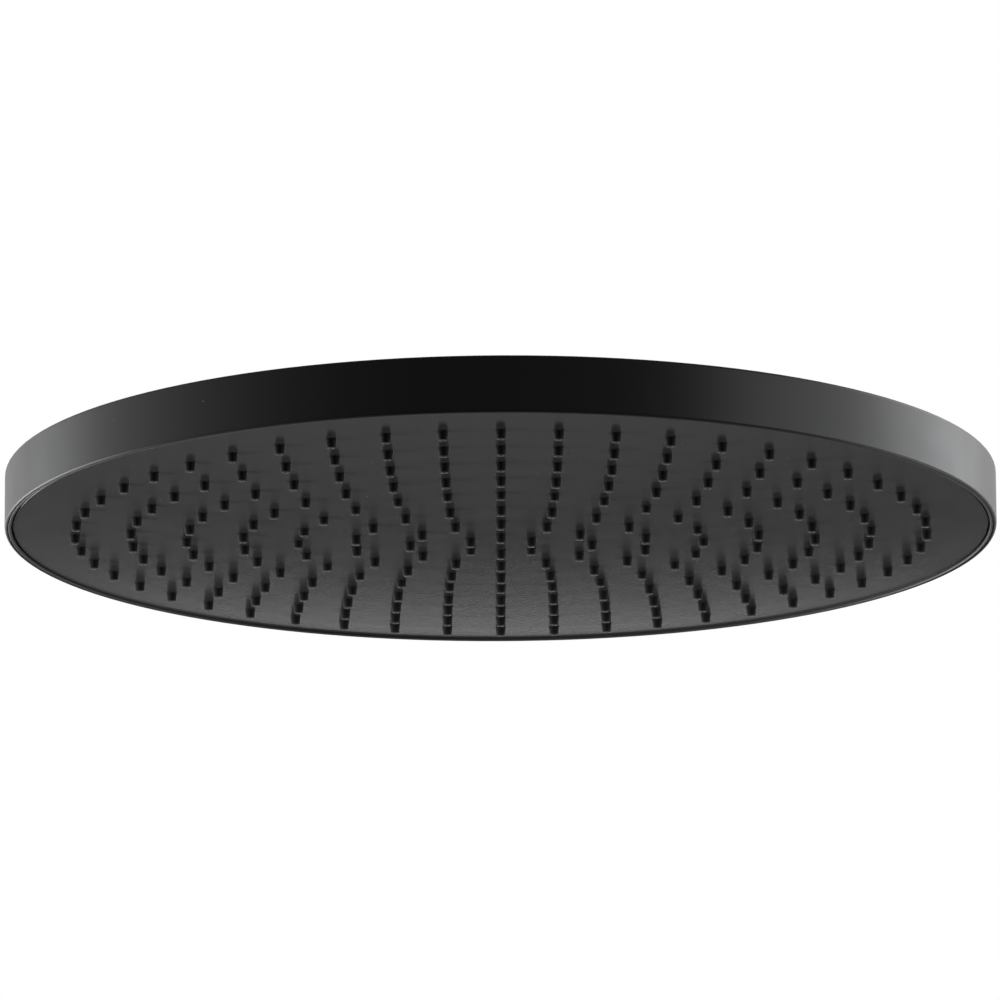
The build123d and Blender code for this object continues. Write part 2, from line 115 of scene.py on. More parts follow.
class Signal:
    """An output socket that takes part in arithmetic, where each step adds a Math node."""

    def __init__(self, sheet: "NodeSheet", socket: bpy.types.NodeSocket) -> None:
        """Keeps the sheet that nodes are added to and the socket that gives the value."""
        self.sheet = sheet
        self.socket = socket

    def step(self, operation: str, first: "Operand", second: "Operand") -> "Signal":
        """Adds one Math node.

        Args:
            operation: The Math node's operation.
            first: Its first value.
            second: Its second value.

        Returns:
            The node's result.
        """
        return self.sheet.add("ShaderNodeMath", {"operation": operation}, {0: first, 1: second})

    def __add__(self, other: "Operand") -> "Signal":
        """The sum."""
        return self.step("ADD", self, other)

    def __radd__(self, other: "Operand") -> "Signal":
        """The sum, with the other value first."""
        return self.step("ADD", other, self)

    def __sub__(self, other: "Operand") -> "Signal":
        """The difference."""
        return self.step("SUBTRACT", self, other)

    def __rsub__(self, other: "Operand") -> "Signal":
        """The difference, with the other value first."""
        return self.step("SUBTRACT", other, self)

    def __mul__(self, other: "Operand") -> "Signal":
        """The product."""
        return self.step("MULTIPLY", self, other)

    def __rmul__(self, other: "Operand") -> "Signal":
        """The product, with the other value first."""
        return self.step("MULTIPLY", other, self)

    def larger(self, other: "Operand") -> "Signal":
        """The larger of the two values."""
        return self.step("MAXIMUM", self, other)


Operand = Union[Signal, float, int]


class NodeSheet:
    """A node tree, with one way to add a node and short ways to what the finishes share."""

    # Sockets of a Mix node that mixes colours.
    MIX_FACTOR, MIX_A, MIX_B, MIX_RESULT = 0, 6, 7, 2
    # The share of a speck's radius inside which it is full.
    SPECK_CORE = 0.5

    def __init__(self, tree: bpy.types.NodeTree, output: str) -> None:
        """Empties a tree down to its output node.

        Args:
            tree: The tree of a material or world.
            output: The name of its output node.
        """
        self.tree = tree
        self.output = tree.nodes[output]
        for node in [node for node in tree.nodes if node != self.output]:
            tree.nodes.remove(node)

    def add(
        self,
        kind: str,
        settings: Optional[dict[str, Any]] = None,
        sockets: Optional[dict[Union[int, str], Any]] = None,
        result: Union[int, str] = 0,
    ) -> Signal:
        """Adds one node.

        Args:
            kind: The node's type.
            settings: Its own settings, which are set first.
            sockets: Values or signals for its inputs, by name or number.
            result: The output that is wanted.

        Returns:
            That output.
        """
        node = self.tree.nodes.new(kind)
        for name, value in (settings or {}).items():
            setattr(node, name, value)
        for key, value in (sockets or {}).items():
            if isinstance(value, Signal):
                self.tree.links.new(value.socket, node.inputs[key])
            else:
                node.inputs[key].default_value = value
        return Signal(self, node.outputs[result])

    def close(self, shader: Signal) -> None:
        """Links a shader to the tree's output."""
        self.tree.links.new(shader.socket, self.output.inputs["Surface"])

    def place(self) -> Signal:
        """The point on the piece, in metres, which moves with it."""
        return self.add("ShaderNodeTexCoord", result="Object")

    def grain(self, size: float, detail: float = 2.0) -> Signal:
        """Noise from 0 to 1.

        Args:
            size: The size of its grains, in metres.
            detail: How many finer layers it has.

        Returns:
            The noise.
        """
        sockets = {"Vector": self.place(), "Scale": 1 / size, "Detail": detail}
        return self.add("ShaderNodeTexNoise", {}, sockets)

    def between(self, factor: Signal, low: Union[Signal, Colour], high: Colour) -> Signal:
        """A colour between two others.

        Args:
            factor: 0 for the first and 1 for the second.
            low: The first colour, fixed or from the surface.
            high: The second colour.

        Returns:
            The mixed colour.
        """
        first = low if isinstance(low, Signal) else opaque(low)
        sockets = {self.MIX_FACTOR: factor, self.MIX_A: first, self.MIX_B: opaque(high)}
        return self.add("ShaderNodeMix", {"data_type": "RGBA"}, sockets, self.MIX_RESULT)

    def specks(self, gap: float, radius: float) -> Signal:
        """Sparse specks of dust: 1 on a speck and 0 elsewhere.

        Args:
            gap: The size of the cells that hold one speck each, in metres.
            radius: The radius of a speck, in metres.

        Returns:
            The mask.
        """
        sockets = {"Vector": self.place(), "Scale": 1 / gap}
        distance = self.add("ShaderNodeTexVoronoi", {"feature": "F1"}, sockets, "Distance")
        edge = radius / gap
        return 1 - self.ramp(distance, self.SPECK_CORE * edge, edge)

    def relief(self, height: Signal, depth: float) -> Signal:
        """A normal with relief.

        Args:
            height: The relief, from 0 to 1.
            depth: Its depth, in metres.

        Returns:
            The normal.
        """
        sockets = {"Strength": 1.0, "Distance": depth, "Height": height}
        return self.add("ShaderNodeBump", {}, sockets, "Normal")

    def ramp(self, value: Signal, low: float, high: float) -> Signal:
        """A smooth rise from 0 to 1 as a value goes from low to high."""
        sockets = {"Value": value, "From Min": low, "From Max": high}
        return self.add("ShaderNodeMapRange", {"interpolation_type": "SMOOTHSTEP"}, sockets, "Result")


@dataclass(frozen=True)
class Finish:
    """A surface with grain in its colour, gloss and relief.

    Attributes:
        name: The material's name.
        colour: Its colour, in linear light.
        variation: The share by which the colour varies.
        roughness: Its mean roughness.
        rough_variation: How far the roughness varies, each way.
        grain: The size of its grain, in metres.
        depth: The depth of its grain, in metres.
        specular: Its specular level.
        metallic: Whether it is bare metal, from 0 to 1.
        coat_roughness: The roughness of its clear coat, where it has one.
        dusty: Whether a few specks of dust lie on it.
    """

    name: str
    colour: Colour
    variation: float = 0.12
    roughness: float = 0.4
    rough_variation: float = 0.05
    grain: float = 0.6 * MM
    depth: float = 0.004 * MM
    specular: float = 0.5
    metallic: float = 0.0
    coat_roughness: float = 0.25
    dusty: bool = False

    # The broad mottle under the grain, and its share in the colour.
    MOTTLE = 14 * MM
    MOTTLE_LAYERS = 4.0
    MOTTLE_SHARE = 0.5
    NOISE_MEAN = 0.5
    # The specks of dust.
    DUST = (0.2, 0.2, 0.19)
    DUST_GAP = 8 * MM
    DUST_R = 0.28 * MM

    def height(self, sheet: NodeSheet) -> Signal:
        """The relief of the surface, from 0 to 1."""
        return sheet.grain(self.grain)

    def coat(self, sheet: NodeSheet) -> Operand:
        """How much of a clear coat the surface has."""
        return 0.0

    def material(self) -> bpy.types.Material:
        """Builds the material.

        Returns:
            The new material.
        """
        material = bpy.data.materials.new(self.name)
        material.use_nodes = True
        sheet = NodeSheet(material.node_tree, "Material Output")
        mottle = sheet.grain(self.MOTTLE, self.MOTTLE_LAYERS)
        height = self.height(sheet)
        dark = tuple(part * (1 - self.variation) for part in self.colour)
        light = tuple(part * (1 + self.variation) for part in self.colour)
        shade = self.MOTTLE_SHARE * mottle + (1 - self.MOTTLE_SHARE) * height
        colour = sheet.between(shade, dark, light)
        if self.dusty:
            colour = sheet.between(sheet.specks(self.DUST_GAP, self.DUST_R), colour, self.DUST)
        sockets = {
            "Base Color": colour,
            "Roughness": self.roughness + 2 * self.rough_variation * (mottle - self.NOISE_MEAN),
            "Normal": sheet.relief(height, self.depth),
            "Metallic": self.metallic,
            "Specular IOR Level": self.specular,
            "Coat Weight": self.coat(sheet),
            "Coat Roughness": self.coat_roughness,
        }
        sheet.close(sheet.add("ShaderNodeBsdfPrincipled", {}, sockets))
        return material


@dataclass(frozen=True)
class TurnedFinish(Finish):
    """A finish with the fine rings that a lathe leaves round the axis.

    Attributes:
        feed: The distance from ring to ring, in metres.
    """

    feed: float = 0.5 * MM

    # Radians of a Wave node per unit of its scale, and how far its rings wander.
    WAVE_RATE = 20.0
    WANDER = 0.4

    def height(self, sheet: NodeSheet) -> Signal:
        """Rings round the axis.

        Args:
            sheet: The material's nodes.

        Returns:
            The relief, from 0 to 1.
        """
        settings = {"wave_type": "RINGS", "rings_direction": "Z"}
        scale = math.tau / (self.WAVE_RATE * self.feed)
        sockets = {"Vector": sheet.place(), "Scale": scale, "Distortion": self.WANDER}
        return sheet.add("ShaderNodeTexWave", settings, sockets, "Fac")


@dataclass(frozen=True)
class SiliconeFinish(Finish):
    """A soft matt finish whose moulded ends, which face down, have a gloss.

    Attributes:
        end_span: How far down a face has to look to be an end.
    """

    end_span: tuple[float, float] = (0.8, 0.95)

    def coat(self, sheet: NodeSheet) -> Operand:
        """A gloss at the ends alone.

        Args:
            sheet: The material's nodes.

        Returns:
            The coat's weight.
        """
        normal = sheet.add("ShaderNodeTexCoord", result="Normal")
        rise = sheet.add("ShaderNodeSeparateXYZ", {}, {"Vector": normal}, "Z")
        return sheet.ramp(0 - rise, *self.end_span)


@dataclass(frozen=True)
class Finishes:
    """All the finishes of the shower head.

    Attributes:
        paint: The housing's satin paint.
        tray: The moulded chamber tray.
        face: The textured spray plate.
        silicone: The soft nozzles.
        coated: The coated metal of the inlet and the ball joint.
        seal: The washers and sealing rings.
        acetal: The white sliding parts.
        brass: The ball's socket.
        steel: The screws, the clip and the screen.
    """

    paint: Finish = Finish(
        "satin_black_paint",
        (0.0138, 0.014, 0.0158),
        roughness=0.36,
        grain=0.8 * MM,
        depth=0.012 * MM,
        dusty=True,
    )
    tray: Finish = Finish("moulded_black_tray", (0.05, 0.05, 0.051), roughness=0.5, specular=0.9)
    face: Finish = Finish(
        "spark_textured_face",
        (0.036, 0.036, 0.0358),
        variation=0.3,
        roughness=0.175,
        rough_variation=0.03,
        grain=1.1 * MM,
        depth=0.055 * MM,
        specular=0.32,
        dusty=True,
    )
    silicone: Finish = SiliconeFinish(
        "black_silicone", (0.026, 0.026, 0.0272), roughness=0.6, grain=0.25 * MM, specular=0.12
    )
    coated: Finish = Finish(
        "black_coated_metal", (0.014, 0.014, 0.0145), roughness=0.32, grain=0.5 * MM, depth=0.003 * MM
    )
    seal: Finish = Finish("sealing_rubber", (0.016, 0.016, 0.016), roughness=0.62, grain=0.3 * MM)
    acetal: Finish = Finish("natural_acetal", (0.78, 0.78, 0.75), variation=0.03, roughness=0.38)
    brass: Finish = TurnedFinish("turned_brass", (0.72, 0.5, 0.22), roughness=0.26, metallic=1.0)
    steel: Finish = TurnedFinish(
        "turned_stainless", (0.6, 0.6, 0.61), variation=0.05, roughness=0.3, metallic=1.0
    )


@dataclass
class MeshSketch:
    """Corners and faces of a piece while it is being drawn.

    Attributes:
        corners: The corners so far.
        faces: The faces so far, each as the numbers of its corners.
    """

    corners: list[Vector] = field(default_factory=list)
    faces: list[tuple[int, ...]] = field(default_factory=list)

    # Corners closer than this become one.
    WELD = 0.001 * MM

    def grid(self, rows: Sequence[Sequence[Vector]], closed: bool) -> None:
        """Adds a skin over rows of points that each go once round.

        Args:
            rows: The rows, all of one length.
            closed: Whether the last row joins the first.
        """
        start, count = len(self.corners), len(rows[0])
        for row in rows:
            self.corners.extend(row)
        last = len(rows) if closed else len(rows) - 1
        for low in range(last):
            high = (low + 1) % len(rows)
            for k in range(count):
                after = (k + 1) % count
                near, far = start + low * count, start + high * count
                self.faces.append((near + k, near + after, far + after, far + k))

    def lathe(self, profile: Profile, centre: Vector, segments: int, closed: bool = False) -> None:
        """Adds a turned skin.

        Args:
            profile: Radius and height of each row.
            centre: Where the axis and the height start.
            segments: How many faces go round.
            closed: Whether the last row joins the first.
        """
        turns = [math.tau * k / segments for k in range(segments)]
        rows = [
            [centre + Vector((radius * math.cos(turn), radius * math.sin(turn), height)) for turn in turns]
            for radius, height in profile
        ]
        self.grid(rows, closed)

    def piece(self, name: str, sharp_deg: float, whole: bool = True) -> bpy.types.Object:
        """Makes the piece.

        Args:
            name: Its name.
            sharp_deg: The angle above which an edge looks sharp.
            whole: Whether it is closed, so that its faces are turned outwards.

        Returns:
            The new object.
        """
        mesh = bpy.data.meshes.new(name)
        mesh.from_pydata(self.corners, [], self.faces)
        work = bmesh.new()
        work.from_mesh(mesh)
        bmesh.ops.remove_doubles(work, verts=work.verts[:], dist=self.WELD)
        if whole:
            bmesh.ops.recalc_face_normals(work, faces=work.faces[:])
        work.to_mesh(mesh)
        work.free()
        mesh.shade_smooth()
        mesh.set_sharp_from_angle(angle=math.radians(sharp_deg))
        piece = bpy.data.objects.new(name, mesh)
        bpy.context.scene.collection.objects.link(piece)
        return piece


def dress(piece: bpy.types.Object, material: bpy.types.Material) -> None:
    """Gives a piece one material, in the slots that it has or in a new one.

    Args:
        piece: The piece.
        material: Its material.
    """
    if not piece.material_slots:
        piece.data.materials.append(material)
    for slot in piece.material_slots:
        slot.material = material


def settle(
    piece: bpy.types.Object, body: Body, node: str, material: bpy.types.Material
) -> None:
    """Puts a new piece in a solid's place.

    Args:
        piece: The new piece.
        body: The body that it rides on.
        node: The solid that it stands for.
        material: Its material.
    """
    dress(piece, material)
    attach(piece, body.value)
    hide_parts(node)
    LOG.info("%s stands for %s", piece.name, node)


@dataclass
class SprayFace:
    """The crowned plate and the soft mat whose nozzles stand through it.

    Attributes:
        radius: The plate's radius.
        apex_z: Height of the lowest point of the face.
        rings: How many rings of nozzles there are.
        ring_step: How many more nozzles each ring has than the one inside it.
        first_ring_r: Radius of the innermost ring.
        ring_pitch: Distance from ring to ring.
        crown: How far the middle of the face stands below its edge.
        plate_t: Thickness of the plate.
        mat_t: Thickness of the mat's sheet.
        mat_gap: Gap between the plate and the mat.
        mat_r: Radius of the mat.
        nozzle_h: How far a nozzle stands out of the face.
        short_ring: The ring whose nozzles are shorter.
        short_h: How far the shorter nozzles stand out.
        tip_r: Radius of a nozzle at its tip.
        base_r: Radius of a nozzle at the face and above it.
        tip_round: Rounding of a nozzle's tip.
        orifice_r: Radius of a nozzle's bore.
        orifice_round: Width of the broken edge of the bore.
        hole_r: Radius of the plate's holes.
        hole_round: Width of the holes' broken edges.
        edge_round: Width of the plate's broken edge.
        nozzle_sides: How many sides the nozzles and holes have.
        rim_sides: How many sides the plate and the mat have.
        mesh_tolerance: How close points may lie when the face is divided.
        sharp_deg: The angle above which an edge looks sharp.
    """

    radius: float
    apex_z: float
    rings: int = 8
    ring_step: int = 6
    first_ring_r: float = 10.6 * MM
    ring_pitch: float = 16.9 * MM
    crown: float = 3.8 * MM
    plate_t: float = 2.0 * MM
    mat_t: float = 1.2 * MM
    mat_gap: float = 0.05 * MM
    mat_r: float = 136.9 * MM
    nozzle_h: float = 2.55 * MM
    short_ring: int = 4
    short_h: float = 2.05 * MM
    tip_r: float = 1.3 * MM
    base_r: float = 1.6 * MM
    tip_round: float = 0.12 * MM
    orifice_r: float = 0.42 * MM
    orifice_round: float = 0.06 * MM
    hole_r: float = 1.74 * MM
    hole_round: float = 0.04 * MM
    edge_round: float = 0.1 * MM
    nozzle_sides: int = 24
    rim_sides: int = 360
    mesh_tolerance: float = 1e-9
    sharp_deg: float = 35.0

    # The kind of division that fills the whole outline with triangles.
    FILL_OUTLINE = 0

    @classmethod
    def from_frame(cls) -> "SprayFace":
        """The face with its radius and height read from the solids."""
        low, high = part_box("spray_plate")
        return cls(radius=high.x, apex_z=low.z)

    @property
    def crown_r(self) -> float:
        """Radius of the sphere that the face is part of."""
        return (self.radius**2 + self.crown**2) / (2 * self.crown)

    @property
    def mouth_r(self) -> float:
        """Radius of a hole with its broken edge."""
        return self.hole_r + self.hole_round

    @property
    def rim_r(self) -> float:
        """Radius of the face inside its broken edge."""
        return self.radius - self.edge_round

    def face_z(self, distance: float) -> float:
        """Height of the face at a distance from the axis."""
        return self.apex_z + self.crown_r - math.sqrt(self.crown_r**2 - distance**2)

    def ring_radius(self, ring: int) -> float:
        """Radius of a ring of nozzles, counted from 1."""
        return self.first_ring_r + self.ring_pitch * (ring - 1)

    def nozzle_length(self, ring: int) -> float:
        """How far the nozzles of a ring stand out of the face."""
        return self.short_h if ring == self.short_ring else self.nozzle_h

    def tip_z(self, ring: int) -> float:
        """Height of the nozzle tips of a ring."""
        return self.face_z(self.ring_radius(ring)) - self.nozzle_length(ring)

    def places(self) -> list[tuple[int, float, float]]:
        """Finds the place of every nozzle, with one of each ring at the front.

        Returns:
            The ring's number, X and Y of each nozzle.
        """
        found = []
        for ring in range(1, self.rings + 1):
            count = self.ring_step * ring
            for k in range(count):
                turn = math.tau * k / count - math.pi / 2
                radius = self.ring_radius(ring)
                found.append((ring, radius * math.cos(turn), radius * math.sin(turn)))
        return found

    def circle(self, x: float, y: float, radius: float, sides: int) -> list[Vector]:
        """Points round a circle in the plane."""
        turns = [math.tau * k / sides for k in range(sides)]
        return [Vector((x + radius * math.cos(turn), y + radius * math.sin(turn))) for turn in turns]

    def lifted(self, points: Sequence[Vector], lift: float) -> list[Vector]:
        """Points of the plane, set on the face and raised."""
        return [Vector((point.x, point.y, self.face_z(point.length) + lift)) for point in points]

    def in_hole(self, flat: Sequence[Vector], face: Sequence[int], centres: Sequence[Vector]) -> bool:
        """Whether a triangle lies in a nozzle's hole.

        Args:
            flat: The points of the plane.
            face: The triangle's corners.
            centres: The holes' centres.

        Returns:
            True where its middle is inside a hole.
        """
        middle = (flat[face[0]] + flat[face[1]] + flat[face[2]]) / 3
        return any((middle - centre).length < self.mouth_r for centre in centres)

    def holed_disc(self) -> tuple[list[Vector], list[list[int]]]:
        """Divides the face, seen flat, into triangles that leave the holes open.

        Returns:
            The points of the plane and the corners of each triangle.
        """
        loops = [self.circle(0, 0, self.rim_r, self.rim_sides)]
        for _, x, y in self.places():
            loops.append(self.circle(x, y, self.mouth_r, self.nozzle_sides))
        points = [point for loop in loops for point in loop]
        edges, start = [], 0
        for loop in loops:
            edges += [(start + k, start + (k + 1) % len(loop)) for k in range(len(loop))]
            start += len(loop)
        divided = delaunay_2d_cdt(points, edges, [], self.FILL_OUTLINE, self.mesh_tolerance)
        flat, _, triangles, *_ = divided
        centres = [Vector((x, y)) for _, x, y in self.places()]
        return flat, [face for face in triangles if not self.in_hole(flat, face, centres)]

    def plate(self) -> bpy.types.Object:
        """Makes the plate, with a rounded hole for each nozzle and a rounded rim.

        Returns:
            The new piece.
        """
        flat, triangles = self.holed_disc()
        sketch = MeshSketch()
        for lift in (0.0, self.plate_t):
            start = len(sketch.corners)
            sketch.corners.extend(self.lifted(flat, lift))
            sketch.faces.extend(tuple(start + k for k in face) for face in triangles)
        hole = [
            (self.mouth_r, 0.0),
            (self.hole_r, self.hole_round),
            (self.hole_r, self.plate_t - self.hole_round),
            (self.mouth_r, self.plate_t),
        ]
        for _, x, y in self.places():
            rims = [(self.circle(x, y, radius, self.nozzle_sides), lift) for radius, lift in hole]
            sketch.grid([self.lifted(rim, lift) for rim, lift in rims], closed=False)
        inner, edge = self.face_z(self.rim_r), self.face_z(self.radius)
        profile = [
            (self.rim_r, inner),
            (self.radius, edge + self.edge_round),
            (self.radius, edge + self.plate_t),
            (self.rim_r, inner + self.plate_t),
        ]
        sketch.lathe(profile, Vector(), self.rim_sides)
        return sketch.piece("spray_face_plate", self.sharp_deg)

    def nozzle_profile(self, ring: int) -> Profile:
        """Draws a nozzle's skin, from the mat down to the tip and up its bore.

        Args:
            ring: The nozzle's ring.

        Returns:
            Radius and height above the face of each row.
        """
        root = self.plate_t + self.mat_gap + self.mat_t / 2
        tip = -self.nozzle_length(ring)
        slope = (self.base_r - self.tip_r) / self.nozzle_h
        half = self.tip_round * (1 - math.cos(math.pi / 4))
        return [
            (self.base_r, root),
            (self.base_r, 0.0),
            (self.tip_r + slope * self.tip_round, tip + self.tip_round),
            (self.tip_r - half, tip + half),
            (self.tip_r - self.tip_round, tip),
            (self.orifice_r + self.orifice_round, tip),
            (self.orifice_r, tip + self.orifice_round),
            (self.orifice_r, root),
        ]

    def mat(self) -> bpy.types.Object:
        """Makes the mat's sheet with all the round nozzles.

        Returns:
            The new piece.
        """
        sketch = MeshSketch()
        low = self.plate_t + self.mat_gap
        steps = [self.mat_r * k / self.rings for k in range(self.rings + 1)]
        under = [(radius, self.face_z(radius) + low) for radius in steps]
        over = [(radius, height + self.mat_t) for radius, height in under]
        for profile in (under, over, [under[-1], over[-1]]):
            sketch.lathe(profile, Vector(), self.rim_sides)
        for ring, x, y in self.places():
            seat = Vector((x, y, self.face_z(self.ring_radius(ring))))
            sketch.lathe(self.nozzle_profile(ring), seat, self.nozzle_sides, closed=True)
        return sketch.piece("nozzle_mat_round", self.sharp_deg)

    def build(self, finishes: Finishes) -> None:
        """Makes the plate and the mat and puts them in place."""
        settle(self.plate(), Body.HEAD, "spray_plate", finishes.face.material())
        settle(self.mat(), Body.HEAD, "nozzle_mat", finishes.silicone.material())


@dataclass
class UnionNut:
    """The hexagonal inlet nut, with a half-inch pipe thread cut in it.

    Attributes:
        flat_r: Half the size across flats.
        low_z: Height of its lower end, where its upper end is at nought.
        bore_r: Radius of the hole that the stem passes through.
        shoulder_z: Height of the shoulder above that hole.
        relief_r: Radius of the plain bore between the shoulder and the thread.
        thread_l: Length of the thread.
        minor_r: The thread's smallest radius.
        major_r: The thread's largest radius.
        pitch: The thread's pitch.
        mouth_r: Radius of the chamfer at the thread's mouth, which slopes at 45 degrees.
        chamfer_w: Width of the chamfer of both ends, inwards from the flats.
        chamfer_h: Height of that chamfer at the corners.
        sides: How many flats it has.
        turns: How many faces go round.
        rows_per_pitch: How many rows of faces one pitch of the thread has.
        sharp_deg: The angle above which an edge looks sharp.
    """

    flat_r: float
    low_z: float
    bore_r: float = 8.08 * MM
    shoulder_z: float = -13.65 * MM
    relief_r: float = 10.6 * MM
    thread_l: float = 9.6 * MM
    minor_r: float = 9.3155 * MM
    major_r: float = 10.4775 * MM
    pitch: float = 1.814 * MM
    mouth_r: float = 10.8 * MM
    chamfer_w: float = 0.7 * MM
    chamfer_h: float = 0.92 * MM
    sides: int = 6
    turns: int = 192
    rows_per_pitch: int = 12
    sharp_deg: float = 38.0

    @classmethod
    def from_frame(cls) -> "UnionNut":
        """The nut with its outer sizes read from the solid."""
        low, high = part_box("union_nut")
        return cls(flat_r=high.y, low_z=low.z)

    def hex_r(self, turn: float) -> float:
        """Radius of the hexagon in a direction, with corners along X."""
        step = math.tau / self.sides
        return self.flat_r / math.cos((turn % step) - step / 2)

    def thread_r(self, turn: float, height: float) -> float:
        """Finds the radius of the thread, opened by the chamfer at its mouth.

        Args:
            turn: The direction, in radians.
            height: The height, which is nought at the mouth and negative inside.

        Returns:
            The radius there.
        """
        phase = (height / self.pitch - turn / math.tau) % 1.0
        wave = (1 - math.cos(math.tau * phase)) / 2
        return max(self.minor_r + (self.major_r - self.minor_r) * wave, self.mouth_r + height)

    def column(self, turn: float) -> Profile:
        """Draws the nut's closed section in a direction.

        Args:
            turn: The direction, in radians.

        Returns:
            Radius and height of each corner.
        """
        corner_r = self.flat_r / math.cos(math.pi / self.sides)
        end_r = self.flat_r - self.chamfer_w
        outer = self.hex_r(turn)
        drop = self.chamfer_h * (outer - end_r) / (corner_r - end_r)
        count = round(self.thread_l / self.pitch * self.rows_per_pitch)
        heights = [-self.thread_l * (1 - k / count) for k in range(count + 1)]
        bore = [
            (self.bore_r, self.low_z),
            (self.bore_r, self.shoulder_z),
            (self.relief_r, self.shoulder_z),
            (self.relief_r, -self.thread_l),
        ]
        thread = [(self.thread_r(turn, height), height) for height in heights]
        skirt = [(end_r, 0.0), (outer, -drop), (outer, self.low_z + drop), (end_r, self.low_z)]
        return [*bore, *thread, *skirt]

    def build(self, material: bpy.types.Material) -> None:
        """Makes the nut and puts it in place.

        Args:
            material: Its material.
        """
        directions = [math.tau * k / self.turns for k in range(self.turns)]
        columns = [self.column(turn) for turn in directions]
        rows = [
            [
                Vector((radius * math.cos(turn), radius * math.sin(turn), height))
                for turn, (radius, height) in zip(directions, ring)
            ]
            for ring in zip(*columns)
        ]
        sketch = MeshSketch()
        sketch.grid(rows, closed=True)
        nut = sketch.piece("union_nut_threaded", self.sharp_deg)
        settle(nut, Body.INLET, "union_nut", material)


@dataclass
class CarriedPieces:
    """The pieces that keep their solids, by the finish that each one gets.

    Attributes:
        nodes: The solids, by name.
        finishes: The finishes.
    """

    nodes: dict[str, bpy.types.Object]
    finishes: Finishes

    def build(self) -> None:
        """Dresses every kept solid."""
        groups = {
            self.finishes.paint: ("housing",),
            self.finishes.tray: ("chamber_tray",),
            self.finishes.coated: ("ball_stem", "ball_nut"),
            self.finishes.brass: ("ball_socket",),
            self.finishes.steel: (
                "union_clip", "inlet_screen", "socket_screws", "rim_screws", "inner_screws"
            ),
            self.finishes.seal: (
                "ball_seat", "limiter_o_ring", "inlet_washer", "socket_o_ring", "nut_washer"
            ),
            self.finishes.acetal: ("flow_limiter", "slip_ring"),
        }
        for finish, names in groups.items():
            material = finish.material()
            for name in names:
                dress(self.nodes[name], material)
                LOG.info("%s is dressed in %s", name, finish.name)


@dataclass(frozen=True)
class Softbox:
    """A soft lamp that points at the object.

    Attributes:
        name: Its name.
        turn_deg: Its direction from the front, towards the right.
        rise_deg: Its height, as an angle.
        width: Its width.
        height: Its height.
        level: How bright its surface is, where 1 is the white of the surroundings.
        colour: The colour of its light.
        distance: How far away it hangs.
        mirrored: Whether glossy surfaces show it.
    """

    name: str
    turn_deg: float
    rise_deg: float
    width: float
    height: float
    level: float
    colour: Colour = WHITE
    distance: float = 2.6
    mirrored: bool = True

    def build(self, centre: Vector) -> None:
        """Hangs the lamp.

        Args:
            centre: The point that it looks at.
        """
        turn, rise = math.radians(self.turn_deg), math.radians(self.rise_deg)
        flat = self.distance * math.cos(rise)
        arm = Vector((flat * math.sin(turn), -flat * math.cos(turn), self.distance * math.sin(rise)))
        data = bpy.data.lights.new(self.name, "AREA")
        data.shape = "RECTANGLE"
        data.size, data.size_y = self.width, self.height
        data.energy = self.level * math.pi * self.width * self.height
        data.color = self.colour
        lamp = bpy.data.objects.new(self.name, data)
        lamp.location = centre + arm
        lamp.rotation_euler = (-arm).to_track_quat("-Z", "Y").to_euler()
        lamp.visible_camera = False
        lamp.visible_glossy = self.mirrored
        bpy.context.scene.collection.objects.link(lamp)


